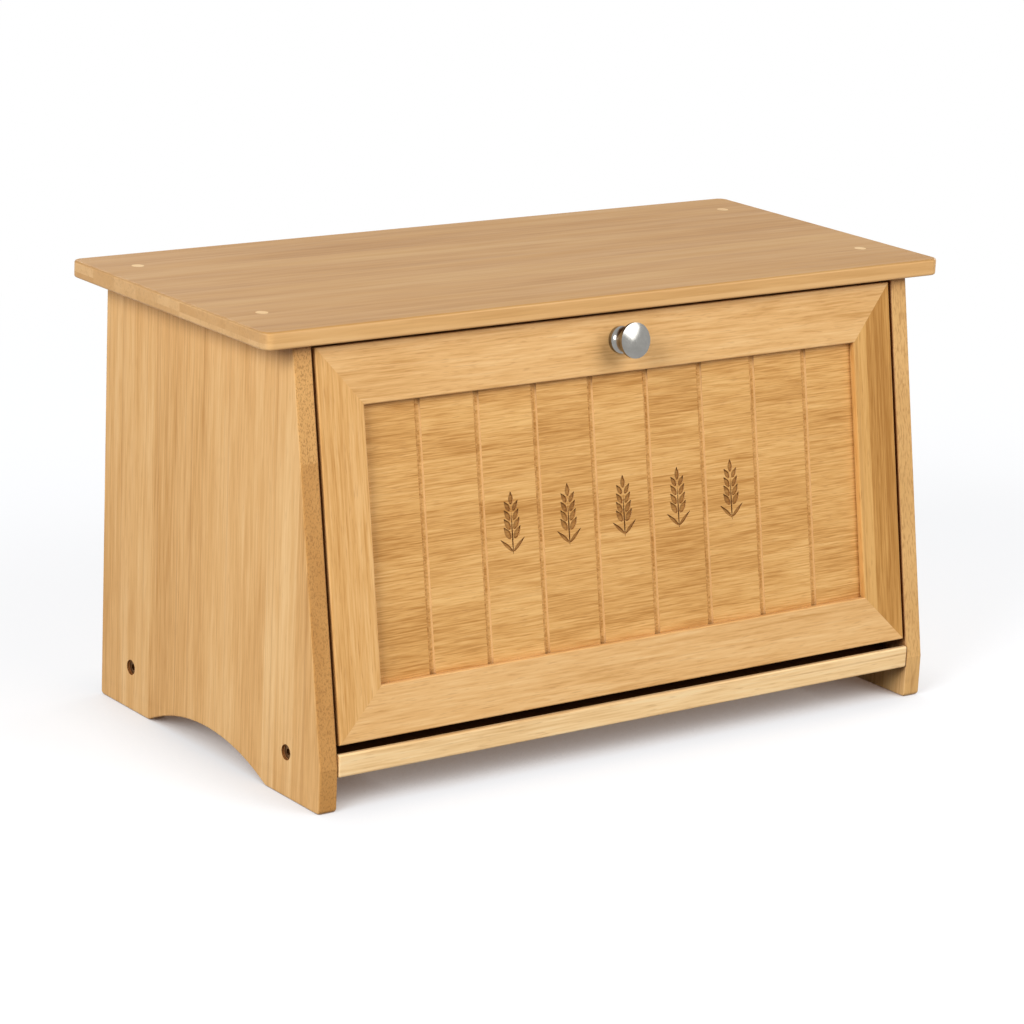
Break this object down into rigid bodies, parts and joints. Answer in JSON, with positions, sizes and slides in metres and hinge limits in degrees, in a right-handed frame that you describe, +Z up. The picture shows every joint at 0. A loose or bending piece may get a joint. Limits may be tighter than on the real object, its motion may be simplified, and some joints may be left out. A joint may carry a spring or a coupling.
{
  "type": "bread box",
  "caption": "Low wooden bread box with an overhanging top, slanted sides with arched feet, and a framed, grooved front door with a round knob that drops forward.",
  "frame": {"origin": "on the standing surface, under the centre of the whole box", "axes": "+X to the right as seen from the front, +Y to the back, +Z up; the door faces -Y"},
  "size_m": [0.404, 0.204, 0.222],
  "materials": {
    "bamboo_top": "satin",
    "bamboo_side": "satin",
    "bamboo_shelf": "satin",
    "bamboo_back": "satin",
    "bamboo_stile": "satin",
    "bamboo_rail": "satin",
    "bamboo_panel": "satin",
    "bamboo_plug": "satin",
    "zinc_steel": "satin",
    "satin_nickel": "satin",
    "bronzed_brass": "satin",
    "brown_plastic": "matte",
    "ferrite": "matte"
  },
  "bodies": {
    "case": {"top_board": "bamboo_top", "left_side": "bamboo_side", "right_side": "bamboo_side", "bottom_shelf": "bamboo_shelf", "back_panel": "bamboo_back", "top_plugs": "bamboo_plug", "top_screws": "zinc_steel", "side_screws": "bronzed_brass", "catch_housing": "brown_plastic", "catch_magnet": "ferrite", "catch_pole_plates": "zinc_steel", "catch_screws": "zinc_steel"},
    "door": {"door_left_stile": "bamboo_stile", "door_right_stile": "bamboo_stile", "door_top_rail": "bamboo_rail", "door_bottom_rail": "bamboo_rail", "door_panel": "bamboo_panel", "left_hinge_pin": "zinc_steel", "right_hinge_pin": "zinc_steel", "knob": "satin_nickel", "knob_screw": "zinc_steel", "strike_plate": "zinc_steel", "strike_screws": "zinc_steel"}
  },
  "joints": [
    {"name": "door_hinge", "type": "hinge", "parent": "case", "child": "door", "pos_m": [0, -0.0923, 0.03901], "axis": [1, 0, 0], "range_deg": [0, 106]}
  ]
}
